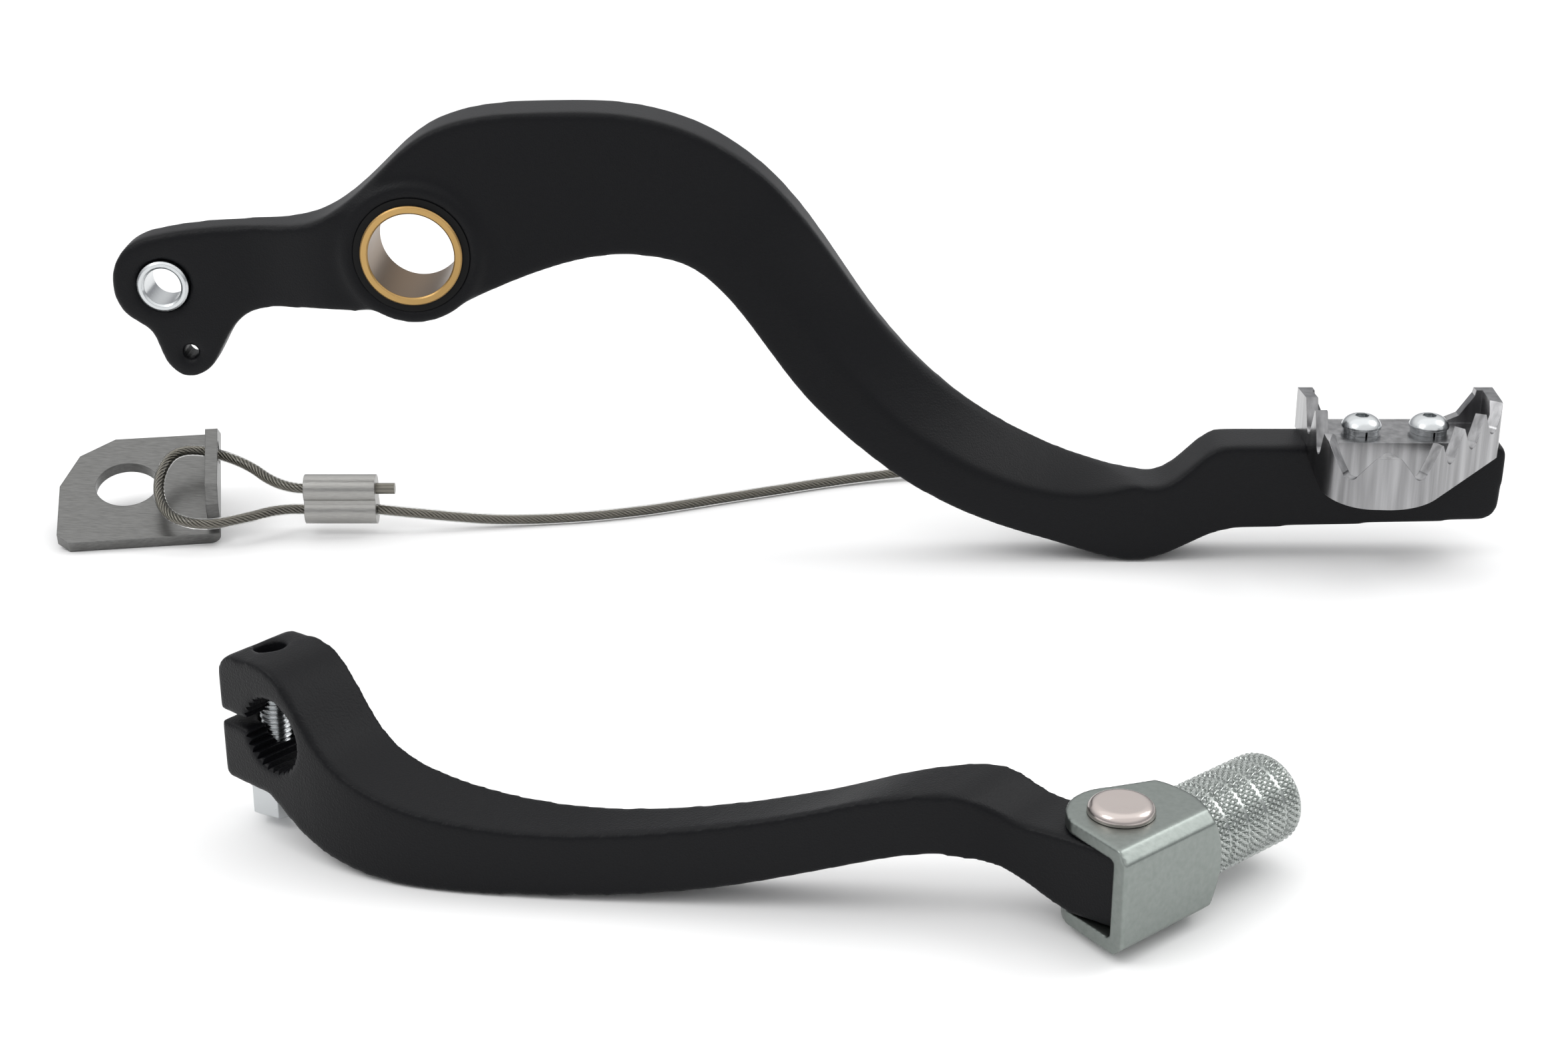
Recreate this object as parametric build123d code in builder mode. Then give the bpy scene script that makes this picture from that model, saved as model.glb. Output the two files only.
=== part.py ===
"""Off-road motorcycle foot controls: a rear brake pedal with its safety cable, and the matching gear shift lever.

One shared frame in millimetres: the origin is the middle of the pedal's pivot bore, X runs to the
pedal's toe, Y away from the rider's boot into the frame, Z up. The lever stands on the ground plane.
"""
from math import cos, degrees, pi, radians, sin, tan
import os

from build123d import *

os.makedirs("parts", exist_ok=True)

# ---- driving dimensions, mm ----
GROUND_Z = -76.8            # lowest point of the whole set
# pedal
PIVOT_BORE_R = 9.85         # inside of the bronze bush, runs on a 19.5 mm pivot stud
BUSH_R = 11.7
BUSH_HALF_LENGTH = 10.0
BOSS_R = 16.3
BOSS_HALF_LENGTH = 9.5
SEAL_R = 13.3
SEAL_DEPTH = 1.6
ARM_BACK_Y = 7.0
ARM_FRONT_Y = -8.0
CLEVIS_FRONT_Y = -2.0
TOE_FRONT_Y = -7.0
TOE_TOP_Z = -47.2
ROD_X, ROD_Z = -59.1, -9.4  # eye for the master-cylinder push rod
ROD_BORE_R = 4.3
ROD_SLEEVE_R = 6.0
SPRING_X, SPRING_Z, SPRING_R = -54.2, -25.6, 1.8
# toe tip
PLATE_T = 1.9
TIP_WALL = 2.8
SCREW_X = (222.0, 238.0)
SCREW_Y = -1.5
SCREW_R = 2.5
SCREW_HEAD_R = 4.7
SCREW_HEAD_H = 2.75
SPRING_WASHER_T = 1.3
# safety cable
CABLE_R = 1.35
FERRULE_LENGTH = 17.5
ANCHOR_X, ANCHOR_Z, ANCHOR_Y = 160.0, -65.0, 13.0   # stop sleeve in the back of the arm, free end at Y
ANCHOR_R = 2.6
# shift lever
LEVER_TURN = -40.0          # yaw of the lever's own frame
LEVER_AT = (-5.6, -138.6)
BORE_ROOT_R = 7.8
BORE_TOOTH_R = 7.0
TEETH = 30
BOSS_HALF_W = 8.0
CLAMP_X = -8.2              # clamp bolt axis, beside the bore
BOLT_R = 3.0
RIVET_X, RIVET_Y = 137.0, 70.0
TANG_BOTTOM, TANG_TOP = -18.4, -3.4
EAR_T = 2.7
EAR_GAP = 0.15
PEG_R = 8.8
TIP_TURN = -9.0             # the folding tip against the lever's frame


def ground(height):
    return GROUND_Z + height


# ================= pedal arm =================
with BuildPart() as pedal_arm:
    # side outline: pull-rod end, hump over the pivot, swan neck, flat toe
    with BuildSketch(Plane.XZ.offset(-ARM_BACK_Y)) as arm_outline:
        with BuildLine():
            top = Spline((-62.0, 2.2), (-40.0, 4.9), (-23.0, 7.0), (-8.6, 17.0), (3.5, 27.4), (14.0, 31.2),
                         (30.0, 32.6), (46.0, 32.4), (65.4, 27.6), (85.3, 12.8), (104.2, -13.7),
                         (128.4, -39.0), (150.0, -51.2), (172.0, -57.6), tangents=((1, 0.25), (1, -0.12)))
            Spline(top @ 1, (178.5, -55.4), (186.4, -48.4), (194.0, TOE_TOP_Z),
                   tangents=((1, -0.12), (1, 0)))
            Line((194.0, TOE_TOP_Z), (253.5, TOE_TOP_Z))
            RadiusArc((253.5, TOE_TOP_Z), (255.8, -49.5), 2.3)
            Line((255.8, -49.5), (255.3, -61.5))
            RadiusArc((255.3, -61.5), (250.5, -66.2), 4.8)
            Line((250.5, -66.2), (196.0, -68.2))
            belly = Spline((196.0, -68.2), (189.0, -69.1), (181.5, -72.6), (172.0, -76.3), (152.3, -72.6),
                           (136.2, -67.4), (120.1, -60.0), (104.2, -48.7), (88.4, -33.0), (76.1, -15.9),
                           (67.0, -5.9), (59.4, -1.9), (48.8, -0.5), tangents=((-1, -0.03), (-1, 0)),
                           tangent_scalars=(1, 0.3))
            hollow = Spline(belly @ 1, (32.0, -3.4), (12.0, -11.6), tangents=((-1, 0), (-0.9, -0.42)))
            Line(hollow @ 1, (-14.0, -14.0))
            lobe = Spline((-14.0, -14.0), (-30.0, -14.2), (-41.0, -17.0), (-46.8, -25.0), (-50.4, -30.2),
                          (-55.5, -31.9), (-60.3, -28.0), (-63.0, -20.8), (-68.9, -16.3),
                          tangents=((-1, 0.1), (-0.72, 0.7)))
            ThreePointArc(lobe @ 1, (-71.2, -9.6), top @ 0)
        make_face()
    extrude(amount=ARM_BACK_Y - ARM_FRONT_Y)
    # thickness seen from above: thin pull-rod plate, full arm, slightly thinner toe
    with BuildSketch(Plane.XY.offset(-100)) as arm_plan:
        with BuildLine():
            Line((-90, CLEVIS_FRONT_Y), (-40, CLEVIS_FRONT_Y))
            Spline((-40, CLEVIS_FRONT_Y), (-29, -4.8), (-17, ARM_FRONT_Y), tangents=((1, 0), (1, 0)))
            Line((-17, ARM_FRONT_Y), (95, ARM_FRONT_Y))
            Spline((95, ARM_FRONT_Y), (160, TOE_FRONT_Y), tangents=((1, 0), (1, 0)))
            Polyline((160, TOE_FRONT_Y), (270, TOE_FRONT_Y), (270, 30), (-90, 30), (-90, CLEVIS_FRONT_Y))
        make_face()
    extrude(amount=160, mode=Mode.INTERSECT)
    # the swan neck twists: its broad face turns to become the top of the toe
    facet_stations = [  # crease x, z, heading of the arm, width up to the top edge, depth of the top edge
        (58.0, -1.0, -18.0, 30.0, -8.3), (73.0, -8.2, -42.0, 27.5, -6.0), (84.0, -14.2, -50.0, 18.6, -3.5),
        (96.5, -27.0, -51.5, 14.2, -0.5), (111.0, -41.6, -41.0, 13.2, 2.0), (125.6, -51.6, -33.0, 11.6, 4.0),
        (138.0, -57.2, -25.0, 10.4, 5.3), (150.0, -59.9, -18.0, 8.6, 6.4), (161.0, -59.2, -12.0, 4.8, 6.9),
        (174.0, -56.4, -9.0, 1.2, 7.2)]
    for x, z, heading, width, depth in facet_stations:
        along = radians(heading)
        station = Plane(origin=(x, 0, z), x_dir=(-sin(along), 0, cos(along)), z_dir=(cos(along), 0, sin(along)))
        drop = -depth - 8.6
        with BuildSketch(station):
            Polygon((-0.35 * width, 8.6 - 0.35 * drop), (1.4 * width, 8.6 + 1.4 * drop),
                    (1.4 * width + 1.0, 8.6 - 0.35 * drop + 1.0), align=None)
    loft(mode=Mode.SUBTRACT)
    # round pivot boss
    with BuildSketch(Plane.XZ.offset(-BOSS_HALF_LENGTH)):
        Circle(BOSS_R)
    extrude(amount=2 * BOSS_HALF_LENGTH)
    with BuildSketch(Plane.XZ.offset(-20)):
        Circle(BUSH_R)
        with Locations((ROD_X, ROD_Z)):
            Circle(ROD_SLEEVE_R)
        with Locations((SPRING_X, SPRING_Z)):
            Circle(SPRING_R)
    extrude(amount=40, mode=Mode.SUBTRACT)
    with BuildSketch(Plane.XZ.offset(BOSS_HALF_LENGTH - SEAL_DEPTH)):
        Circle(SEAL_R)
    extrude(amount=5, mode=Mode.SUBTRACT)
    with BuildSketch(Plane.XZ.offset(-BOSS_HALF_LENGTH - 5)):
        Circle(SEAL_R)
    extrude(amount=5 + SEAL_DEPTH, mode=Mode.SUBTRACT)
    # tapped holes for the toe tip screws
    with Locations(*[(x, SCREW_Y, TOE_TOP_Z - 5.5) for x in SCREW_X]):
        Cylinder(SCREW_R, 11.2, mode=Mode.SUBTRACT)
    # blind hole for the cable's stop sleeve
    with BuildSketch(Plane.XZ.offset(-2.5)):
        with Locations((ANCHOR_X, ANCHOR_Z)):
            Circle(ANCHOR_R)
    extrude(amount=-10, mode=Mode.SUBTRACT)
pedal_arm.part.label = "pedal_arm"
export_step(pedal_arm.part, "parts/pedal_arm.step")
print("arm", pedal_arm.part.volume, pedal_arm.part.is_valid, pedal_arm.part.bounding_box())


# ================= pivot =================
with BuildPart() as pivot_bush:
    with BuildSketch(Plane.XZ.offset(-BUSH_HALF_LENGTH)):
        Circle(BUSH_R)
        Circle(PIVOT_BORE_R, mode=Mode.SUBTRACT)
    extrude(amount=2 * BUSH_HALF_LENGTH)
    rims = pivot_bush.edges().filter_by(GeomType.CIRCLE)
    chamfer(rims, 0.35)
pivot_bush.part.label = "pivot_bush"
export_step(pivot_bush.part, "parts/pivot_bush.step")

# one dust seal in each face of the boss, two solids of one node
with BuildPart() as pivot_seals:
    with BuildSketch(Plane.XZ.offset(BOSS_HALF_LENGTH - SEAL_DEPTH)):
        Circle(SEAL_R)
        Circle(BUSH_R, mode=Mode.SUBTRACT)
    extrude(amount=SEAL_DEPTH - 0.3)
    with BuildSketch(Plane.XZ.offset(-BOSS_HALF_LENGTH + 0.3)):
        Circle(SEAL_R)
        Circle(BUSH_R, mode=Mode.SUBTRACT)
    extrude(amount=SEAL_DEPTH - 0.3)
pivot_seals.part.label = "pivot_seals"
export_step(pivot_seals.part, "parts/pivot_seals.step")

with BuildPart() as rod_sleeve:
    with BuildSketch(Plane.XZ.offset(-ARM_BACK_Y - 0.6)):
        with Locations((ROD_X, ROD_Z)):
            Circle(ROD_SLEEVE_R)
            Circle(ROD_BORE_R, mode=Mode.SUBTRACT)
    extrude(amount=ARM_BACK_Y - CLEVIS_FRONT_Y + 1.4)
    chamfer(rod_sleeve.edges().filter_by(GeomType.CIRCLE), 0.5)
rod_sleeve.part.label = "rod_sleeve"
export_step(rod_sleeve.part, "parts/rod_sleeve.step")

# ================= toe tip =================
TIP_LEFT, TIP_BACK, TIP_TOP = 208.0, ARM_BACK_Y, -34.5
with BuildPart() as toe_tip:
    # ring wall in plan: straight left side, round nose, right side splayed out to the toe's corner
    with BuildSketch(Plane.XY.offset(-54)) as tip_plan:
        with BuildLine():
            wall = FilletPolyline((TIP_LEFT, TIP_BACK), (TIP_LEFT + 0.6, -32.6), (229.0, -33.6), (253.2, -8.2),
                                  (254.6, TIP_BACK), radius=(11.0, 16.0, 3.0))
            Line(wall @ 1, wall @ 0)
        make_face()
        offset(amount=-TIP_WALL, kind=Kind.INTERSECTION, mode=Mode.SUBTRACT)
    extrude(amount=54 + TIP_TOP)
    # lower edge of the wall: under the toe's top face in front of the toe, clear of it over the toe
    with BuildSketch(Plane.YZ.offset(190)) as under:
        with BuildLine():
            Polyline((TOE_FRONT_Y - 0.3, -60), (TOE_FRONT_Y - 0.3, -49.2), (-37, -53.4), (-37, -60), close=True)
        make_face()
    extrude(amount=80, mode=Mode.SUBTRACT)
    with BuildSketch(Plane.YZ.offset(190)):
        with Locations(((TOE_FRONT_Y - 0.3 + 20) / 2, (TOE_TOP_Z - 60) / 2)):
            Rectangle(20 - TOE_FRONT_Y + 0.3, 60 + TOE_TOP_Z)
    extrude(amount=80, mode=Mode.SUBTRACT)
    # top of the wall falls towards the nose
    with BuildSketch(Plane.YZ.offset(190)):
        Polygon((-40, -41.2), (-33, -40.6), (-27, -39.4), (-21, -37.3), (-14, -36.2), (-6, -36.2), (12, -37.6),
                (12, -20), (-40, -20), align=None)
    extrude(amount=80, mode=Mode.SUBTRACT)
    # the back wall is scooped down to the plate between two corner horns
    with BuildSketch(Plane.XZ.offset(-12)):
        Polygon((TIP_LEFT + 2.6, -30), (TIP_LEFT + 3.6, -38.0), (TIP_LEFT + 6.8, TOE_TOP_Z + PLATE_T),
                (242.0, TOE_TOP_Z + PLATE_T), (246.4, -43.4), (249.8, -38.4), (251.4, -30), align=None)
    extrude(amount=12 - TIP_BACK + 2 * TIP_WALL, mode=Mode.SUBTRACT)
    # round-bottomed notches between the teeth
    notches = [  # plan point on the wall, heading of the cut, height of the root, half width at the top
        (208.5, -7.4, 0, -43.6, 7.4), (208.6, -18.6, 0, -44.6, 7.4), (213.4, -30.9, 52, -46.3, 10.5),
        (229.3, -31.6, 118, -46.3, 10.5), (237.6, -24.3, 133.6, -45.0, 8.0), (244.2, -17.4, 133.6, -43.9, 8.0),
        (250.5, -10.8, 140, -42.6, 7.4)]
    for x, y, heading, root, spread in notches:
        turn = radians(heading)
        side = Plane(origin=(x - 9 * cos(turn), y - 9 * sin(turn), root), x_dir=(-sin(turn), cos(turn), 0),
                     z_dir=(cos(turn), sin(turn), 0))
        with BuildSketch(side):
            with BuildLine():
                ThreePointArc((-1.8, 1.2), (0, 0), (1.8, 1.2))
                Polyline((1.8, 1.2), (spread, 12.5), (-spread, 12.5), (-1.8, 1.2))
            make_face()
        extrude(amount=15, mode=Mode.SUBTRACT)
    # flat plate on the toe with the two counterbored screw seats
    with BuildSketch(Plane.XY.offset(TOE_TOP_Z)):
        with BuildLine():
            Polyline((TIP_LEFT + 1.0, TIP_BACK), (TIP_LEFT + 1.0, TOE_FRONT_Y - 0.6), (252.0, TOE_FRONT_Y - 0.6),
                     (253.5, TIP_BACK), close=True)
        make_face()
    extrude(amount=PLATE_T)
    # skirt in front of the toe, the back of the ring's pocket
    with BuildSketch(Plane.XZ.offset(0.3 - TOE_FRONT_Y)):
        Polygon((210.4, TOE_TOP_Z + PLATE_T), (210.4, -51.0), (213.0, -56.0), (238.5, -56.0), (248.5, -50.4),
                (248.5, TOE_TOP_Z + PLATE_T), align=None)
    extrude(amount=2.4)
    with Locations(*[(x, SCREW_Y, TOE_TOP_Z) for x in SCREW_X]):
        Cylinder(SCREW_R + 0.15, 12, mode=Mode.SUBTRACT)
toe_tip.part.label = "toe_tip"
export_step(toe_tip.part, "parts/toe_tip.step")
print("tip", toe_tip.part.volume, len(toe_tip.part.solids()))

SEAT_Z = TOE_TOP_Z + PLATE_T
with BuildPart() as toe_spring_washers:
    for x in SCREW_X:
        with BuildSketch(Plane.XY.offset(SEAT_Z)):
            with Locations((x, SCREW_Y)):
                Circle(SCREW_HEAD_R - 0.4)
                Circle(SCREW_R + 0.1, mode=Mode.SUBTRACT)
            with Locations(Location((x, SCREW_Y - 3.4, 0), (0, 0, 25))):
                Rectangle(0.5, 4, mode=Mode.SUBTRACT)
        extrude(amount=SPRING_WASHER_T)
toe_spring_washers.part.label = "toe_spring_washers"
export_step(toe_spring_washers.part, "parts/toe_spring_washers.step")

HEAD_Z = SEAT_Z + SPRING_WASHER_T
with BuildPart() as toe_screws:
    for x in SCREW_X:
        with BuildSketch(Plane(origin=(x, SCREW_Y, 0), x_dir=(1, 0, 0), z_dir=(0, -1, 0))):
            with BuildLine():
                Line((0, HEAD_Z - 14.0), (SCREW_R - 0.02, HEAD_Z - 14.0))
                Line((SCREW_R - 0.02, HEAD_Z - 14.0), (SCREW_R - 0.02, HEAD_Z))
                Line((SCREW_R - 0.02, HEAD_Z), (SCREW_HEAD_R, HEAD_Z))
                Line((SCREW_HEAD_R, HEAD_Z), (SCREW_HEAD_R, HEAD_Z + 0.5))
                ThreePointArc((SCREW_HEAD_R, HEAD_Z + 0.5), (3.6, HEAD_Z + 2.0), (1.9, HEAD_Z + SCREW_HEAD_H))
                Line((1.9, HEAD_Z + SCREW_HEAD_H), (0, HEAD_Z + SCREW_HEAD_H))
                Line((0, HEAD_Z + SCREW_HEAD_H), (0, HEAD_Z - 14.0))
            make_face()
        revolve(axis=Axis((x, SCREW_Y, 0), (0, 0, 1)))
    with BuildSketch(Plane.XY.offset(HEAD_Z + 1.0)):
        with Locations(*[(x, SCREW_Y) for x in SCREW_X]):
            RegularPolygon(1.5, 6, major_radius=False)
    extrude(amount=5, mode=Mode.SUBTRACT)
toe_screws.part.label = "toe_screws"
export_step(toe_screws.part, "parts/toe_screws.step")

# ================= safety cable with its frame tab =================
FERRULE_X, FERRULE_Y, FERRULE_Z = -15.0, 12.0, ground(8.9)   # toe-side face, middle of the sleeve
STRAND = 2.75                                                 # each strand above or below the middle
ROPE_Z = ground(CABLE_R)


def bent(points):
    """Largest safe bend radius for every corner of a cable path."""
    radii = []
    for before, corner, after in zip(points, points[1:], points[2:]):
        a, b = Vector(*corner) - Vector(*before), Vector(*after) - Vector(*corner)
        half = radians(a.get_angle(b)) / 2
        radii.append(0.45 * min(a.length, b.length) / tan(half))
    return radii


run_points = [
    (FERRULE_X, FERRULE_Y, FERRULE_Z - STRAND), (-3.0, 13.4, ground(4.2)), (17.0, 16.0, ROPE_Z),
    (45.0, 20.6, ROPE_Z), (75.0, 34.0, ROPE_Z), (108.0, 48.0, ROPE_Z), (136.0, 50.5, ground(3.2)),
    (154.0, 39.0, -69.0), (ANCHOR_X, 25.0, ANCHOR_Z), (ANCHOR_X, ANCHOR_Y, ANCHOR_Z)]
loop_points = [
    (FERRULE_X - FERRULE_LENGTH, FERRULE_Y, FERRULE_Z + STRAND), (-38.5, 12.4, -65.3), (-50.0, 22.5, -61.5),
    (-65.0, 22.0, -57.6), (-69.0, 13.5, -62.5), (-66.0, 3.5, -68.5), (-56.0, -1.5, -69.8),
    (-46.0, 3.6, -69.7), (-38.5, 11.3, -70.1), (FERRULE_X - FERRULE_LENGTH, FERRULE_Y, FERRULE_Z - STRAND)]

with BuildPart() as cable_run:
    with BuildLine():
        run_path = FilletPolyline(*run_points, radius=bent(run_points))
    with BuildSketch(Plane(origin=run_path @ 0, z_dir=run_path % 0)):
        Circle(CABLE_R)
    sweep(path=run_path)
cable_run.part.label = "cable_run"
export_step(cable_run.part, "parts/cable_run.step")
print("run length", run_path.length, "volume ratio", cable_run.part.volume / (pi * CABLE_R**2 * run_path.length),
      [round(r, 1) for r in bent(run_points)])

with BuildPart() as cable_loop:
    with BuildLine():
        loop_path = FilletPolyline(*loop_points, radius=bent(loop_points))
    with BuildSketch(Plane(origin=loop_path @ 0, z_dir=loop_path % 0)):
        Circle(CABLE_R)
    sweep(path=loop_path)
cable_loop.part.label = "cable_loop"
export_step(cable_loop.part, "parts/cable_loop.step")
print("loop length", loop_path.length, "volume ratio",
      cable_loop.part.volume / (pi * CABLE_R**2 * loop_path.length), [round(r, 1) for r in bent(loop_points)])

with BuildPart() as cable_tail:
    with BuildSketch(Plane.YZ.offset(FERRULE_X)):
        with Locations((FERRULE_Y, FERRULE_Z + STRAND)):
            Circle(CABLE_R)
    extrude(amount=4.5)
cable_tail.part.label = "cable_tail"
export_step(cable_tail.part, "parts/cable_tail.step")

with BuildPart() as cable_ferrule:
    with BuildSketch(Plane.YZ.offset(FERRULE_X - FERRULE_LENGTH)):
        with Locations((FERRULE_Y, FERRULE_Z - STRAND), (FERRULE_Y, FERRULE_Z + STRAND)):
            Circle(3.5)
        with Locations((FERRULE_Y, FERRULE_Z)):
            Rectangle(5.4, 2 * STRAND)
    extrude(amount=FERRULE_LENGTH)
cable_ferrule.part.label = "cable_ferrule"
export_step(cable_ferrule.part, "parts/cable_ferrule.step")

with BuildPart() as anchor_ferrule:
    with BuildSketch(Plane.XZ.offset(-ANCHOR_Y)):
        with Locations((ANCHOR_X, ANCHOR_Z)):
            Circle(ANCHOR_R)
    extrude(amount=10.5)
    chamfer(anchor_ferrule.faces().sort_by(Axis.Y)[-1].edges(), 0.4)
anchor_ferrule.part.label = "anchor_ferrule"
export_step(anchor_ferrule.part, "parts/anchor_ferrule.step")

TAB_T = 3.0
tab_frame = Location((-91.0, -1.0, GROUND_Z), (0, 0, 9.7)) * Location((0, 0, 0), (23, 0, 0))
tab_plan = Plane(tab_frame)
tab_side = Plane(origin=tab_plan.from_local_coords(Vector(39.0, 0, 0)), x_dir=tab_plan.y_dir, z_dir=tab_plan.x_dir)
with BuildPart() as cable_tab:
    with BuildSketch(tab_plan):
        with BuildLine():
            Polyline((3.0, 0), (39.0, 0), (39.0, 36.0), (13.0, 36.0), (4.5, 30.5), (0, 20.0), (0, 3.0), (3.0, 0))
        make_face()
        with Locations((16.2, 19.4)):
            Circle(7.6, mode=Mode.SUBTRACT)
    extrude(amount=TAB_T)
    with BuildSketch(tab_side):
        with BuildLine():
            Polyline((3.0, 0), (36.0, 0), (36.0, 3.2), (27.5, 12.6), (7.0, 13.2), (3.0, 10.0), (3.0, 0))
        make_face()
        with Locations((22.6, 9.1)):
            Circle(2.9, mode=Mode.SUBTRACT)
    extrude(amount=-TAB_T)
    bend = cable_tab.edges().filter_by(lambda e: e.length > 32 and abs(e.length - 36.0) < 0.01)
    fillet(bend.sort_by(Axis.X)[-1], 2.6)
cable_tab.part.label = "cable_tab"
export_step(cable_tab.part, "parts/cable_tab.step")
print("tab", cable_tab.part.volume, cable_tab.part.bounding_box())

# ================= shift lever, drawn in its own frame about the splined bore =================
yaw = radians(LEVER_TURN)
lever_x = (cos(yaw), sin(yaw), 0)
lever_y = (-sin(yaw), cos(yaw), 0)
lever_o = (LEVER_AT[0], LEVER_AT[1], GROUND_Z + 23.05)
SIDE = Plane(origin=lever_o, x_dir=lever_x, z_dir=(sin(yaw), -cos(yaw), 0))   # x along, y up, faces the rider
PLAN = Plane(origin=lever_o, x_dir=lever_x, z_dir=(0, 0, 1))                  # x along, y outboard

with BuildPart() as shift_arm:
    with BuildSketch(SIDE.offset(-90)):
        with BuildLine():
            crown = Spline((-9.0, 13.4), (0.5, 13.2), (6.0, 9.0), (13.5, 0.4), (26.0, -5.8), (40.0, -8.7),
                           (54.0, -9.5), (68.0, -8.3), (93.0, -2.5), (104.0, 1.0), (111.0, 2.2),
                           tangents=((1, 0.12), (1, 0)), tangent_scalars=(1, 0.3))
            Spline(crown @ 1, (125.5, TANG_TOP), tangents=((1, 0), (1, 0)))
            Line((125.5, TANG_TOP), (150.0, TANG_TOP))
            Line((150.0, TANG_TOP), (150.0, TANG_BOTTOM))
            Line((150.0, TANG_BOTTOM), (133.0, TANG_BOTTOM))
            keel = Spline((133.0, TANG_BOTTOM), (122.0, -13.6), (112.5, -10.2), (101.0, -12.2), (77.0, -19.6),
                          (60.0, -22.0), (40.0, -22.9), (20.0, -22.0), (7.0, -18.3), (-1.8, -13.2),
                          tangents=((-0.9, 0.25), (-0.85, 0.5)))
            Line((-1.8, -13.2), (-12.6, -13.2))
            RadiusArc((-12.6, -13.2), (-14.6, -11.2), 2.0)
            Line((-14.6, -11.2), (-14.6, 8.6))
            ThreePointArc((-14.6, 8.6), (-13.0, 12.0), (-9.0, 13.4))
        make_face()
    extrude(amount=110)
    with BuildSketch(PLAN.offset(-40)):
        with BuildLine():
            Line((-16, -8), (6, -8))
            near = Spline((6, -8), (24, -5.6), (50, 8.0), (90, 35.6), (117, 54.6), (133.0, RIVET_Y - 9.6),
                          tangents=((1, 0), (1, 0.1)))
            Line(near @ 1, (RIVET_X + 5.7, RIVET_Y - 8.9))
            Line((RIVET_X + 5.7, RIVET_Y - 8.9), (RIVET_X + 7.0, RIVET_Y - 0.6))
            ThreePointArc((RIVET_X + 7.0, RIVET_Y - 0.6), (RIVET_X + 4.2, RIVET_Y + 5.65),
                          (RIVET_X - 2.0, RIVET_Y + 6.8))
            far = Spline((RIVET_X - 2.0, RIVET_Y + 6.8), (110, 66.0), (84, 46.6), (46, 20.6), (22, 9.6), (6, 8),
                         tangents=((-1, -0.25), (-1, 0)))
            Line((6, 8), (-16, 8))
            Line((-16, 8), (-16, -8))
        make_face()
    extrude(amount=80, mode=Mode.INTERSECT)
    # spline bore, clamp slit and bolt holes
    with BuildSketch(SIDE.offset(-20)):
        flanks = [BORE_ROOT_R, BORE_TOOTH_R - 0.5]          # V grooves between flat-topped teeth
        Polygon(*[(flanks[k % 2] * cos(pi * k / TEETH), flanks[k % 2] * sin(pi * k / TEETH))
                  for k in range(2 * TEETH)], align=None)
        Circle(BORE_TOOTH_R)
        with Locations((-16, 0)):
            Rectangle(19, 1.9)
    extrude(amount=40, mode=Mode.SUBTRACT)
    with BuildSketch(PLAN.offset(-30)):
        with Locations((CLAMP_X, 0)):
            Circle(BOLT_R + 0.15)
    extrude(amount=30, mode=Mode.SUBTRACT)
    with BuildSketch(PLAN):
        with Locations((CLAMP_X, 0)):
            Circle(BOLT_R)
    extrude(amount=30, mode=Mode.SUBTRACT)
    with BuildSketch(PLAN.offset(-40)):
        with Locations((RIVET_X, RIVET_Y)):
            Circle(3.5)
    extrude(amount=80, mode=Mode.SUBTRACT)
shift_arm.part.label = "shift_arm"
export_step(shift_arm.part, "parts/shift_arm.step")
print("lever", shift_arm.part.volume, shift_arm.part.is_valid, shift_arm.part.bounding_box())

with BuildPart() as clamp_bolt:
    with BuildSketch(PLAN.offset(-13.2)):
        with Locations((CLAMP_X, 0)):
            Circle(BOLT_R - 0.03)
    extrude(amount=22)
    with BuildSketch(PLAN.offset(-14.4)):
        with Locations((CLAMP_X, 0)):
            Circle(6.2)
    extrude(amount=1.2)
    with BuildSketch(PLAN.offset(-21.0)):
        with Locations((CLAMP_X, 0)):
            RegularPolygon(5.0, 6, rotation=12, major_radius=False)
    extrude(amount=6.6)
clamp_bolt.part.label = "clamp_bolt"
export_step(clamp_bolt.part, "parts/clamp_bolt.step")

EAR_LOW, EAR_TOP = TANG_BOTTOM - EAR_GAP - EAR_T, TANG_TOP + EAR_GAP + EAR_T
PEG_U, PEG_Z, NOSE = 0.9, (EAR_LOW + EAR_TOP) / 2, 15.2
# the folding tip's own frame stands on the rivet and is turned a little against the lever's
tip_yaw = radians(LEVER_TURN + TIP_TURN)
tip_x = (cos(tip_yaw), sin(tip_yaw), 0)
tip_y = (-sin(tip_yaw), cos(tip_yaw), 0)
tip_o = tuple(lever_o[i] + RIVET_X * lever_x[i] + RIVET_Y * lever_y[i] for i in range(3))
TIP_SIDE = Plane(origin=tip_o, x_dir=tip_x, z_dir=(sin(tip_yaw), -cos(tip_yaw), 0))
TIP_PLAN = Plane(origin=tip_o, x_dir=tip_x, z_dir=(0, 0, 1))
TIP_WALL_U = 11.2

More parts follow.
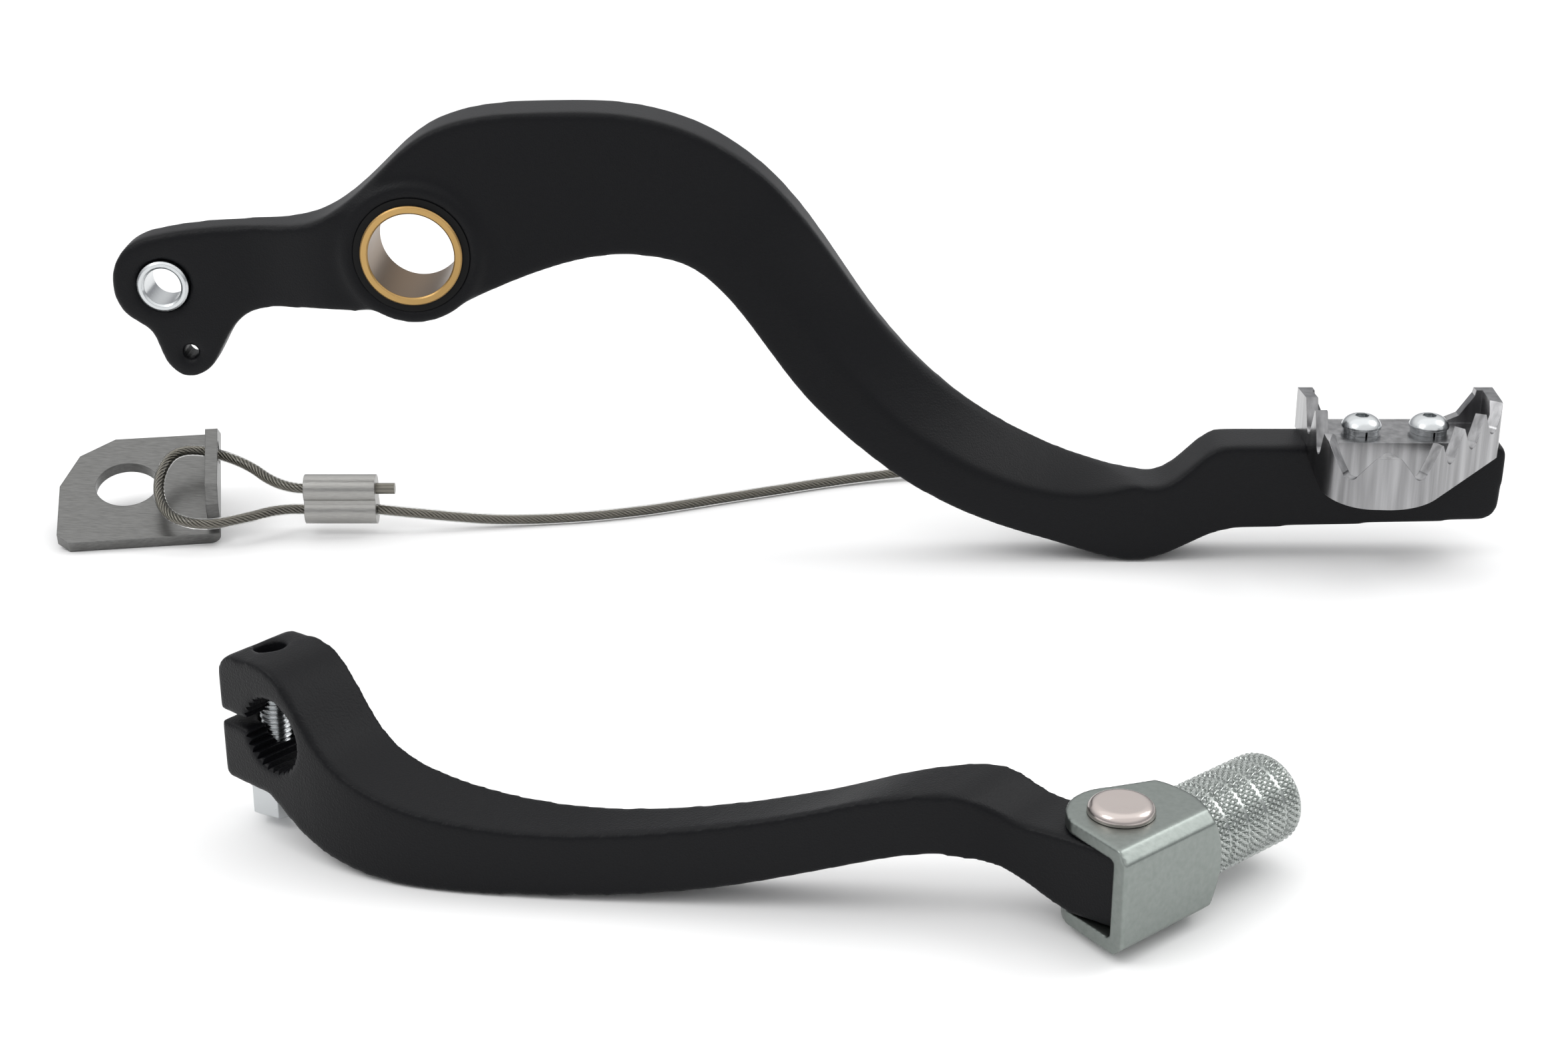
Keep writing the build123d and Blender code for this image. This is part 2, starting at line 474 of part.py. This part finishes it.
with BuildPart() as tip_yoke:
    with BuildSketch(TIP_PLAN.offset(EAR_LOW)):
        with BuildLine():
            Line((-3.6, -9.1), (TIP_WALL_U, -11.0))
            Polyline((TIP_WALL_U, -11.0), (TIP_WALL_U, 17.0), (-3.2, 17.0), (-8.2, 5.4))
            ThreePointArc((-8.2, 5.4), (-9.8, 0), (-3.6, -9.1))
        make_face()
    extrude(amount=EAR_TOP - EAR_LOW)
    corners = tip_yoke.edges().filter_by(
        lambda e: (e.center() - Vector(tip_o)).dot(Vector(tip_x)) > TIP_WALL_U - 0.1 and abs((e @ 1 - e @ 0).Z) < 0.1)
    chamfer(corners, 2.2)
    # the far end is turned down to a round nose about the peg
    with BuildSketch(Plane(origin=TIP_SIDE.from_local_coords((PEG_U, PEG_Z, 0)), x_dir=tip_x, z_dir=(0, 0, 1))):
        Polygon((0, -30), (30, -30), (30, -1.6), (16.5, 9.0), (13.2, 12.6), (10.6, 14.7), (9.6, NOSE), (0, NOSE),
                align=None)
    revolve(axis=Axis(TIP_SIDE.from_local_coords((PEG_U, PEG_Z, 0)), tip_y), mode=Mode.INTERSECT)
    # slot for the arm, open towards the rider and the boss, relieved for the arm when folded
    with BuildSketch(TIP_PLAN.offset(TANG_BOTTOM - EAR_GAP)):
        Polygon((TIP_WALL_U - 3.5, -20), (TIP_WALL_U - 3.5, 8.6), (4.4, 8.6), (-3.0, 10.6), (-12.0, 15.2),
                (-20, 15.2), (-20, -20), align=None)
    extrude(amount=TANG_TOP - TANG_BOTTOM + 2 * EAR_GAP, mode=Mode.SUBTRACT)
    with BuildSketch(TIP_PLAN.offset(-40)):
        Circle(3.55)
    extrude(amount=80, mode=Mode.SUBTRACT)
    with BuildSketch(TIP_SIDE.offset(-NOSE)):
        with Locations((PEG_U, PEG_Z)):
            Circle(3.5)
    extrude(amount=3.0, mode=Mode.SUBTRACT)
tip_yoke.part.label = "tip_yoke"
export_step(tip_yoke.part, "parts/tip_yoke.step")
print("yoke", tip_yoke.part.volume, tip_yoke.part.is_valid, len(tip_yoke.part.solids()),
      tip_yoke.part.bounding_box())

with BuildPart() as tip_rivet:
    with BuildSketch(PLAN.offset(EAR_TOP + 0.1)):
        with Locations((RIVET_X, RIVET_Y)):
            Circle(6.1)
    extrude(amount=2.0)
    fillet(tip_rivet.edges().filter_by(GeomType.CIRCLE).sort_by(Axis.Z)[-1], 1.7)
    for level, radius, height in ((EAR_LOW - 1.4, 5.6, 1.3), (EAR_LOW - 0.5, 3.5, EAR_TOP - EAR_LOW + 1.0)):
        with BuildSketch(PLAN.offset(level)):
            with Locations((RIVET_X, RIVET_Y)):
                Circle(radius)
        extrude(amount=height)
tip_rivet.part.label = "tip_rivet"
export_step(tip_rivet.part, "parts/tip_rivet.step")

PEG_LENGTH, PEG_GROOVES = 25.5, 4
with BuildPart() as toe_peg:
    with BuildSketch(TIP_SIDE.offset(-NOSE - PEG_LENGTH)):
        with Locations((PEG_U, PEG_Z)):
            Circle(PEG_R)
    extrude(amount=PEG_LENGTH)
    fillet(toe_peg.edges().filter_by(GeomType.CIRCLE).sort_by(Axis(tip_o, tip_y))[-1], 2.4)
    for k in range(PEG_GROOVES):
        with BuildSketch(TIP_SIDE.offset(-NOSE - 4.2 - 5.2 * k)):
            with Locations((PEG_U, PEG_Z)):
                Circle(PEG_R + 1)
                Circle(PEG_R - 0.55, mode=Mode.SUBTRACT)
        extrude(amount=0.8, mode=Mode.SUBTRACT)
    with BuildSketch(TIP_SIDE.offset(-NOSE)):
        with Locations((PEG_U, PEG_Z)):
            Circle(3.5)
    extrude(amount=2.9)
toe_peg.part.label = "toe_peg"
export_step(toe_peg.part, "parts/toe_peg.step")
print("peg", toe_peg.part.volume, toe_peg.part.is_valid, len(toe_peg.part.solids()))
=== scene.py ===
from math import cos, pi, radians, sin, sqrt

import bmesh
import bpy
from mathutils import Matrix, Vector


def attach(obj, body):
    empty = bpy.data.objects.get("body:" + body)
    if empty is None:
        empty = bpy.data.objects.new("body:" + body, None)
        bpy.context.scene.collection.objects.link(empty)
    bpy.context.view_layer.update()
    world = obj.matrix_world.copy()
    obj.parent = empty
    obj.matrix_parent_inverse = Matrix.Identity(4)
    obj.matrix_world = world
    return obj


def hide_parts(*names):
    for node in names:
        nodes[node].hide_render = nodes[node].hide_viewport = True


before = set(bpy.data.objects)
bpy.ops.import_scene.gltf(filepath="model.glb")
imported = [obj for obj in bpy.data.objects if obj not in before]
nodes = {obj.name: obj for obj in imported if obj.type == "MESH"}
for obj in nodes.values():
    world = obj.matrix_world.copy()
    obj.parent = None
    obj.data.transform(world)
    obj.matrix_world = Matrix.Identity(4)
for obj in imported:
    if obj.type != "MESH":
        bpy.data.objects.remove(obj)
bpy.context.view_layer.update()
MM = 0.001

# ---- the set's own dimensions, mm, as in the CAD part ----
GROUND = -76.8
LEVER_O = Vector((-5.6, -138.6, GROUND + 23.05))
YAW = radians(-40.0)
LEVER_X = Vector((cos(YAW), sin(YAW), 0))
LEVER_Y = Vector((-sin(YAW), cos(YAW), 0))
RIVET = (137.0, 70.0)
TIP_YAW = radians(-49.0)
TIP_O = LEVER_O + LEVER_X * RIVET[0] + LEVER_Y * RIVET[1]
TIP_X = Vector((cos(TIP_YAW), sin(TIP_YAW), 0))
TIP_Y = Vector((-sin(TIP_YAW), cos(TIP_YAW), 0))
PEG_AT, PEG_Z, NOSE, PEG_R, PEG_LENGTH = 0.9, -10.9, 15.2, 8.8, 25.5
PEG_ROUND = 2.4                       # round of the peg's end
GROOVE_FIRST, GROOVE_STEP, GROOVE_HALF, GROOVES = 4.6, 5.2, 0.45, 4
KNURL_DEPTH = 0.55
CLAMP_X = -8.2
SLIT_HALF = 0.95
CLAMP_HOLE_R, CLAMP_CLEAR_R = 3.0, 3.15
TEETH, BORE_ROOT_R, BORE_TOOTH_R = 30, 7.8, 6.95
BUSH_SEAT_R, SEAL_R, SEAL_Y, SEAL_CUT = 11.72, 13.3, 12.9, 10
ROD_X, ROD_Z, ROD_SEAT_R = -59.1, -9.4, 6.02
SPRING_X, SPRING_Z, SPRING_R = -54.2, -25.6, 1.8
THROUGH = 40                          # longer than any bore of the pedal
CABLE_R = 1.35
WIRE_R, WIRE_RING_R = 0.30, 0.60      # one wire, and the ring that the outer wires lie on


def lever(x, y, z):
    """A point of the lever's own frame, in scene metres."""
    return (LEVER_O + LEVER_X * x + LEVER_Y * y + Vector((0, 0, z))) * MM


def tip(x, y, z):
    """A point of the folding tip's frame, which stands on the rivet, in scene metres."""
    return (TIP_O + TIP_X * x + TIP_Y * y + Vector((0, 0, z))) * MM


# ================= materials =================
def shader(name, color, metallic, roughness, **extra):
    mat = bpy.data.materials.new(name)
    mat.use_nodes = True
    bsdf = mat.node_tree.nodes["Principled BSDF"]
    bsdf.inputs["Base Color"].default_value = (*color, 1)
    bsdf.inputs["Metallic"].default_value = metallic
    bsdf.inputs["Roughness"].default_value = roughness
    for key, value in extra.items():
        bsdf.inputs[key.replace("_", " ")].default_value = value
    return mat, mat.node_tree, bsdf


def grain(tree, bsdf, scale, strength, stretch=(1, 1, 1), edge=0.0, detail=3.0):
    """Fine relief from noise, with worn-round edges when edge is over zero."""
    coords = tree.nodes.new("ShaderNodeTexCoord")
    mapping = tree.nodes.new("ShaderNodeMapping")
    mapping.inputs["Scale"].default_value = stretch
    noise = tree.nodes.new("ShaderNodeTexNoise")
    noise.inputs["Scale"].default_value = scale
    noise.inputs["Detail"].default_value = detail
    bump = tree.nodes.new("ShaderNodeBump")
    bump.inputs["Strength"].default_value = strength
    bump.inputs["Distance"].default_value = 0.0002
    link = tree.links.new
    link(coords.outputs["Object"], mapping.inputs["Vector"])
    link(mapping.outputs["Vector"], noise.inputs["Vector"])
    link(noise.outputs["Fac"], bump.inputs["Height"])
    link(bump.outputs["Normal"], bsdf.inputs["Normal"])
    if edge:
        bevel = tree.nodes.new("ShaderNodeBevel")
        bevel.samples = 6
        bevel.inputs["Radius"].default_value = edge
        link(bevel.outputs["Normal"], bump.inputs["Normal"])
    return noise


def tint(tree, bsdf, noise, low, high, socket="Base Color"):
    """Colour or roughness varying softly between two values with the noise."""
    ramp = tree.nodes.new("ShaderNodeMapRange")
    if socket == "Roughness":
        ramp.inputs["To Min"].default_value, ramp.inputs["To Max"].default_value = low, high
        tree.links.new(noise.outputs["Fac"], ramp.inputs["Value"])
        tree.links.new(ramp.outputs["Result"], bsdf.inputs[socket])
        return
    mix = tree.nodes.new("ShaderNodeMix")
    mix.data_type = "RGBA"
    mix.inputs[6].default_value, mix.inputs[7].default_value = (*low, 1), (*high, 1)
    tree.links.new(noise.outputs["Fac"], mix.inputs[0])
    tree.links.new(mix.outputs[2], bsdf.inputs[socket])


def bore_painted_shade(tree, bsdf, face, bore):
    """End faces in the bush's own colour and the bore in a darker colour that is painted shade, told apart
    by which way they face along Y.
    """
    where = tree.nodes.new("ShaderNodeNewGeometry")
    axes = tree.nodes.new("ShaderNodeSeparateXYZ")
    size = tree.nodes.new("ShaderNodeMath")
    size.operation = "ABSOLUTE"
    mix = tree.nodes.new("ShaderNodeMix")
    mix.data_type = "RGBA"
    mix.inputs[6].default_value, mix.inputs[7].default_value = (*bore, 1), (*face, 1)
    tree.links.new(where.outputs["Normal"], axes.inputs["Vector"])
    tree.links.new(axes.outputs["Y"], size.inputs[0])
    tree.links.new(size.outputs["Value"], mix.inputs[0])
    tree.links.new(mix.outputs[2], bsdf.inputs["Base Color"])


black, t, b = shader("black_alloy", (0.0042, 0.0044, 0.0054), 0.0, 0.40, Specular_IOR_Level=0.15)
grain(t, b, 2600, 0.5)
bronze, t, b = shader("bronze", (0.52, 0.32, 0.12), 1.0, 0.34)
grain(t, b, 900, 0.12, (1, 8, 1), 0.0002)
# painted shade: the bore inside the bronze bush gets a darker colour than its end faces
bore_painted_shade(t, b, (0.52, 0.33, 0.125), (0.17, 0.105, 0.05))
rubber, t, b = shader("seal_rubber", (0.004, 0.004, 0.004), 0.0, 0.7, Specular_IOR_Level=0.2)
zinc, t, b = shader("zinc_steel", (0.58, 0.60, 0.61), 1.0, 0.22)
tint(t, b, grain(t, b, 1200, 0.10, (1, 1, 1), 0.00025), 0.16, 0.32, "Roughness")
milled, t, b = shader("bare_alloy", (0.36, 0.36, 0.365), 1.0, 0.24)
# painted reflection: the stretched noise streaks the toe tip's colour down to near black, standing in for
# the black pedal reflected in its walls
tint(t, b, grain(t, b, 420, 0.14, (1, 1, 0.06), 0.00015, 3.0), (0.06, 0.06, 0.062), (0.50, 0.50, 0.51))
stainless, t, b = shader("stainless", (0.34, 0.335, 0.325), 1.0, 0.32)
tint(t, b, grain(t, b, 500, 0.20, (1, 9, 6), 0.0004, 6.0), (0.29, 0.285, 0.275), (0.42, 0.415, 0.40))
sheet_steel, t, b = shader("sheet_steel", (0.17, 0.17, 0.165), 1.0, 0.36)
tint(t, b, grain(t, b, 360, 0.20, (1, 9, 6), 0.0005, 6.0), (0.10, 0.10, 0.097), (0.24, 0.24, 0.235))
dull_zinc, t, b = shader("dull_zinc", (0.25, 0.275, 0.26), 1.0, 0.34)
tint(t, b, grain(t, b, 900, 0.12, (1, 1, 1), 0.00035), (0.20, 0.225, 0.21), (0.28, 0.305, 0.29))
knurl_mat, t, b = shader("knurl_zinc", (0.40, 0.425, 0.41), 1.0, 0.24)
grain(t, b, 1500, 0.10)
rivet_mat, t, b = shader("rivet_steel", (0.53, 0.475, 0.45), 1.0, 0.22)
tint(t, b, grain(t, b, 260, 0.10, (1, 1, 1), 0.0004), 0.14, 0.34, "Roughness")
rope_mat, t, b = shader("rope", (0.20, 0.19, 0.165), 1.0, 0.36)
sleeve_mat, t, b = shader("clear_sleeve", (0.93, 0.93, 0.91), 0.0, 0.08, Transmission_Weight=1.0, IOR=1.28)

for name, mat in {"pivot_bush": bronze, "pivot_seals": rubber, "rod_sleeve": zinc, "toe_tip": milled,
                  "toe_screws": zinc, "toe_spring_washers": zinc, "anchor_ferrule": stainless,
                  "cable_ferrule": stainless, "cable_tab": sheet_steel, "cable_tail": rope_mat,
                  "tip_rivet": rivet_mat}.items():
    nodes[name].data.materials.clear()
    nodes[name].data.materials.append(mat)


# ================= forged pieces: the CAD solid with its edges flowed round =================
def new_object(name, data, mat=None):
    obj = bpy.data.objects.new(name, data)
    bpy.context.scene.collection.objects.link(obj)
    if mat:
        data.materials.append(mat)
    return obj


def cylinder(center, axis, radius, depth, sides=96):
    bm = bmesh.new()
    bmesh.ops.create_cone(bm, cap_ends=True, segments=sides, radius1=radius * MM, radius2=radius * MM,
                          depth=depth * MM)
    turn = Vector((0, 0, 1)).rotation_difference(Vector(axis)).to_matrix().to_4x4()
    bmesh.ops.transform(bm, matrix=Matrix.Translation(center) @ turn, verts=bm.verts)
    mesh = bpy.data.meshes.new("cut")
    bm.to_mesh(mesh)
    bm.free()
    return new_object("cut", mesh)


def prism(outline, place, low, high):
    """Closed outline in a plane, mm, pushed from low to high; place(u, v, w) gives scene metres."""
    bm = bmesh.new()
    rings = [[bm.verts.new(place(u, v, w)) for u, v in outline] for w in (low, high)]
    bm.faces.new(rings[0])
    bm.faces.new(list(reversed(rings[1])))
    for i in range(len(outline)):
        j = (i + 1) % len(outline)
        bm.faces.new((rings[0][j], rings[0][i], rings[1][i], rings[1][j]))
    bmesh.ops.recalc_face_normals(bm, faces=bm.faces)
    mesh = bpy.data.meshes.new("cut")
    bm.to_mesh(mesh)
    bm.free()
    return new_object("cut", mesh)


def forged(node, mat, body, voxel, passes, cuts=()):
    """Replace a node by its own solid, its edges rounded by smoothing and its holes cut again sharp."""
    source = nodes[node]
    work = new_object(node + "_work", source.data.copy())
    work.data.transform(source.matrix_world)
    bm = bmesh.new()
    bm.from_mesh(work.data)
    bmesh.ops.remove_doubles(bm, verts=bm.verts, dist=1e-6)
    bm.to_mesh(work.data)
    bm.free()
    remesh = work.modifiers.new("voxels", "REMESH")
    remesh.mode, remesh.voxel_size = "VOXEL", voxel * MM
    flow = work.modifiers.new("flow", "SMOOTH")
    flow.factor, flow.iterations = 0.5, passes
    for cut in cuts:
        hole = work.modifiers.new("hole", "BOOLEAN")
        hole.operation, hole.object, hole.solver = "DIFFERENCE", cut, "EXACT"
    shape = bpy.data.meshes.new_from_object(work.evaluated_get(bpy.context.evaluated_depsgraph_get()))
    for old in (work, *cuts):
        bpy.data.objects.remove(old)
    shape.materials.clear()
    piece = new_object(node + "_surface", shape, mat)
    shape.polygons.foreach_set("use_smooth", [True] * len(shape.polygons))
    shape.polygons.foreach_set("material_index", [0] * len(shape.polygons))
    shape.set_sharp_from_angle(angle=radians(38))
    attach(piece, body)
    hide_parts(node)
    return piece


def pedal_hole(x, y, z, radius, depth=THROUGH, sides=96):
    """A round hole along Y, its middle in mm."""
    return cylinder(Vector((x, y, z)) * MM, (0, 1, 0), radius, depth, sides)


def upright(u, v, w):
    """A lever point for an outline that stands in the lever's own XZ plane."""
    return lever(u, w, v)


forged("pedal_arm", black, "pedal", 0.7, 22, [
    pedal_hole(0, 0, 0, BUSH_SEAT_R),
    pedal_hole(0, -SEAL_Y, 0, SEAL_R, SEAL_CUT),
    pedal_hole(0, SEAL_Y, 0, SEAL_R, SEAL_CUT),
    pedal_hole(ROD_X, 0, ROD_Z, ROD_SEAT_R),
    pedal_hole(SPRING_X, 0, SPRING_Z, SPRING_R, sides=32)])

star = []
for k in range(2 * TEETH):
    r = BORE_ROOT_R if k % 2 else BORE_TOOTH_R
    star.append((r * cos(pi * k / TEETH), r * sin(pi * k / TEETH)))
slit = [(-30, -SLIT_HALF), (-6, -SLIT_HALF), (-6, SLIT_HALF), (-30, SLIT_HALF)]
forged("shift_arm", black, "shift_lever", 0.5, 22, [
    prism(star, upright, -12, 12),
    prism(slit, upright, -12, 12),
    cylinder(lever(CLAMP_X, 0, 8), (0, 0, 1), CLAMP_HOLE_R, 20, 48),
    cylinder(lever(CLAMP_X, 0, -10), (0, 0, 1), CLAMP_CLEAR_R, 20, 48)])
forged("tip_yoke", dull_zinc, "folding_tip", 0.35, 3)


# ================= turned pieces =================
def lathe(bm, profile, place, sides):
    """Ring of points for each (radius, height) of the profile about a vertical axis, closed at both ends."""
    turns = [2 * pi * i / sides for i in range(sides)]
    rings = [[bm.verts.new(place(r * cos(a), r * sin(a), z)) for a in turns] for r, z in profile]
    for low, high in zip(rings, rings[1:]):
        for i in range(sides):
            j = (i + 1) % sides
            bm.faces.new((low[i], low[j], high[j], high[i]))
    bm.faces.new(list(reversed(rings[0])))
    bm.faces.new(rings[-1])


def clamp_bolt():
    """Threaded shank, round flange and hexagon head."""
    head_turn = radians(12)

    def place(x, y, z):
        return lever(CLAMP_X + x, y, z)

    def head_place(x, y, z):
        return place(x * cos(head_turn) - y * sin(head_turn), x * sin(head_turn) + y * cos(head_turn), z)

    bm = bmesh.new()
    thread = [(2.45, -12.9)]
    for k in range(21):
        z = -12.5 + k
        thread += [(2.45, z + 0.06), (2.95, z + 0.44), (2.95, z + 0.56), (2.45, z + 0.94)]
    lathe(bm, thread + [(1.9, 8.8)], place, 40)
    lathe(bm, [(5.4, -14.4), (6.2, -14.2), (6.2, -13.6), (5.9, -13.2)], place, 64)
    lathe(bm, [(4.9, -21.0), (5.55, -20.5), (5.77, -20.3), (5.77, -14.4)], head_place, 6)
    bmesh.ops.recalc_face_normals(bm, faces=bm.faces)
    mesh = bpy.data.meshes.new("clamp_bolt_thread")
    bm.to_mesh(mesh)
    bm.free()
    mesh.polygons.foreach_set("use_smooth", [True] * len(mesh.polygons))
    mesh.set_sharp_from_angle(angle=radians(25))
    return new_object("clamp_bolt_thread", mesh, zinc)


bolt = clamp_bolt()
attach(bolt, "shift_lever")
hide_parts("clamp_bolt")


# ================= knurled toe peg =================
def knurled_peg():
    """Diamond knurl from two crossing sets of starts, with ring grooves and a rounded end."""
    around, along, count, lead = 462, 140, 42, 1.75
    bm = bmesh.new()
    rings = []
    for j in range(along + 1):
        s = PEG_LENGTH * j / along
        edge = max(0.0, s - (PEG_LENGTH - PEG_ROUND))
        radius = PEG_R - PEG_ROUND + sqrt(max(0.0, PEG_ROUND**2 - edge**2))
        groove = min(abs(s - GROOVE_FIRST - GROOVE_STEP * k) for k in range(GROOVES))
        fade = min(1.0, s / 0.8, max(0.0, (PEG_LENGTH - 0.9 - s) / 1.0))
        ring = []
        for i in range(around):
            u, v = count * i / around + s / lead, count * i / around - s / lead
            peak = min(1 - abs(2 * (u % 1) - 1), 1 - abs(2 * (v % 1) - 1))
            depth = KNURL_DEPTH * (1 - min(1.0, 1.9 * peak)) * fade
            if groove < GROOVE_HALF:
                depth = GROOVE_HALF
            angle = 2 * pi * i / around
            r = radius - depth
            ring.append(bm.verts.new(tip(PEG_AT + r * cos(angle), NOSE + s, PEG_Z + r * sin(angle))))
        rings.append(ring)
    for low, high in zip(rings, rings[1:]):
        for i in range(around):
            j = (i + 1) % around
            bm.faces.new((low[i], high[i], high[j], low[j]))
    bm.faces.new(rings[-1])
    bm.faces.new(list(reversed(rings[0])))
    bmesh.ops.recalc_face_normals(bm, faces=bm.faces)
    mesh = bpy.data.meshes.new("peg_knurl")
    bm.to_mesh(mesh)
    bm.free()
    mesh.polygons.foreach_set("use_smooth", [True] * len(mesh.polygons))
    mesh.set_sharp_from_angle(angle=radians(28))
    return new_object("peg_knurl", mesh, knurl_mat)


peg = knurled_peg()
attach(peg, "folding_tip")
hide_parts("toe_peg")

# ================= safety cable =================
FERRULE = Vector((-15.0, 12.0, GROUND + 8.9))
STRAND = 2.75
ROPE = GROUND + CABLE_R
run_points = [
    (-15.0, 12.0, FERRULE.z - STRAND), (-3.0, 13.4, GROUND + 4.2), (17.0, 16.0, ROPE), (45.0, 20.6, ROPE),
    (75.0, 34.0, ROPE), (108.0, 48.0, ROPE), (136.0, 50.5, GROUND + 3.2), (154.0, 39.0, -69.0),
    (160.0, 25.0, -65.0), (160.0, 13.0, -65.0)]
loop_points = [
    (-32.5, 12.0, FERRULE.z + STRAND), (-38.5, 12.4, -65.3), (-50.0, 22.5, -61.5), (-65.0, 22.0, -57.6),
    (-69.0, 13.5, -62.5), (-66.0, 3.5, -68.5), (-56.0, -1.5, -69.8), (-46.0, 3.6, -69.7),
    (-38.5, 11.3, -70.1), (-32.5, 12.0, FERRULE.z - STRAND)]


def centreline(points):
    """One smooth line that these points steer, from the first to the last."""
    curve = bpy.data.curves.new("line", "CURVE")
    curve.dimensions, curve.resolution_u = "3D", 24
    spline = curve.splines.new("NURBS")
    spline.points.add(len(points) - 1)
    for point, (x, y, z) in zip(spline.points, points):
        point.co = (x * MM, y * MM, z * MM, 1)
    spline.order_u, spline.use_endpoint_u = 3, True
    return curve


def walk(points):
    """Points along the curve itself, close together, read from it before it is given thickness."""
    curve = centreline(points)
    probe = new_object("probe", curve)
    mesh = bpy.data.meshes.new_from_object(probe.evaluated_get(bpy.context.evaluated_depsgraph_get()))
    path = [v.co.copy() for v in mesh.vertices]
    bpy.data.objects.remove(probe)
    return path


def strands(name, path, lay=7.5, wires=7):
    """Twisted wires round the line: one object of thin tubes."""
    curve = bpy.data.curves.new(name, "CURVE")
    curve.dimensions, curve.bevel_depth, curve.bevel_resolution = "3D", WIRE_R * MM, 1
    side = Vector((0.1, 0.2, 1)).cross(path[1] - path[0]).normalized()
    frames, travel, last = [], 0.0, path[0]
    for i, point in enumerate(path):
        ahead = (path[min(i + 1, len(path) - 1)] - path[max(i - 1, 0)]).normalized()
        side = (side - ahead * side.dot(ahead)).normalized()
        travel += (point - last).length
        last = point
        frames.append((point, side.copy(), ahead.cross(side), travel))
    for k in range(wires):
        out = 0.0 if k == wires - 1 else WIRE_RING_R * MM
        spline = curve.splines.new("POLY")
        spline.points.add(len(frames) - 1)
        for slot, (point, a, c, s) in zip(spline.points, frames):
            turn = 2 * pi * (k / (wires - 1) + s / (lay * MM))
            slot.co = (*(point + (a * cos(turn) + c * sin(turn)) * out), 1)
    return new_object(name, curve, rope_mat)


def dense(path, step=0.45):
    """The same line with a point every step mm."""
    out, gap = [path[0]], step * MM
    for a, b in zip(path, path[1:]):
        count = max(1, round((b - a).length / gap))
        out += [a.lerp(b, (i + 1) / count) for i in range(count)]
    return out


def cable(name, points, node):
    """Clear sleeve over twisted wires, in place of one node."""
    curve = centreline(points)
    curve.bevel_depth, curve.bevel_resolution = CABLE_R * MM, 6
    sleeve = new_object(name + "_sleeve", curve, sleeve_mat)
    core = strands(name + "_wires", dense(walk(points)))
    for piece in (sleeve, core):
        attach(piece, "pedal")
    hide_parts(node)
    return sleeve, core


run_sleeve, run_wires = cable("run", run_points, "cable_run")
loop_sleeve, loop_wires = cable("loop", loop_points, "cable_loop")

# ================= floor, light, camera =================
FLOOR_HALF, FLOOR_GAP = 4.0, 0.08     # metres to the floor's edge, and mm of air under the set
floor_mesh = bpy.data.meshes.new("floor")
floor_mesh.from_pydata([(-FLOOR_HALF, -FLOOR_HALF, 0), (FLOOR_HALF, -FLOOR_HALF, 0),
                        (FLOOR_HALF, FLOOR_HALF, 0), (-FLOOR_HALF, FLOOR_HALF, 0)], [], [(0, 1, 2, 3)])
floor_mat, t, b = shader("floor", (0.93, 0.93, 0.93), 0.0, 0.9)
floor = new_object("floor", floor_mesh, floor_mat)
floor.location.z = (GROUND - FLOOR_GAP) * MM


def area(name, place, target, size, power):
    light = bpy.data.lights.new(name, "AREA")
    light.shape, light.size, light.size_y = "RECTANGLE", size[0], size[1]
    light.energy = power
    lamp = new_object(name, light)
    lamp.location = place
    lamp.rotation_euler = (Vector(target) - Vector(place)).to_track_quat("-Z", "Y").to_euler()


area("overhead", (0.05, 0.10, 1.4), (0.08, 0.0, 0), (2.4, 1.6), 4)
area("key", (-0.7, -0.5, 0.9), (0.08, -0.05, -0.03), (0.5, 0.5), 3)
area("right", (1.1, 0.15, 0.8), (0.12, -0.02, -0.03), (0.6, 0.6), 3.5)

# white tent: bright roof, dimmer walls
world = bpy.data.worlds.new("studio")
bpy.context.scene.world = world
world.use_nodes = True
tree = world.node_tree
where = tree.nodes.new("ShaderNodeTexCoord")
axes = tree.nodes.new("ShaderNodeSeparateXYZ")
roof = tree.nodes.new("ShaderNodeValToRGB")
tree.links.new(where.outputs["Generated"], axes.inputs["Vector"])
tree.links.new(axes.outputs["Z"], roof.inputs["Fac"])
tree.links.new(roof.outputs["Color"], tree.nodes["Background"].inputs["Color"])
roof.color_ramp.elements[0].position = 0.10
roof.color_ramp.elements[0].color = (0.30, 0.305, 0.32, 1)
roof.color_ramp.elements[1].position = 0.55
roof.color_ramp.elements[1].color = (1, 1, 1, 1)
tree.nodes["Background"].inputs["Strength"].default_value = 1.13

CAMERA_DOWN = 22                      # degrees below the horizon
camera_data = bpy.data.cameras.new("camera")
camera_data.sensor_width, camera_data.lens = 36.0, 58.07
camera_data.clip_start, camera_data.clip_end = 0.01, 20
camera = new_object("camera", camera_data)
camera.location = (0.0850, -0.5665, 0.1597)
camera.rotation_euler = (radians(90 - CAMERA_DOWN), 0, 0)
bpy.context.scene.camera = camera
bpy.context.scene.view_settings.view_transform = "Standard"
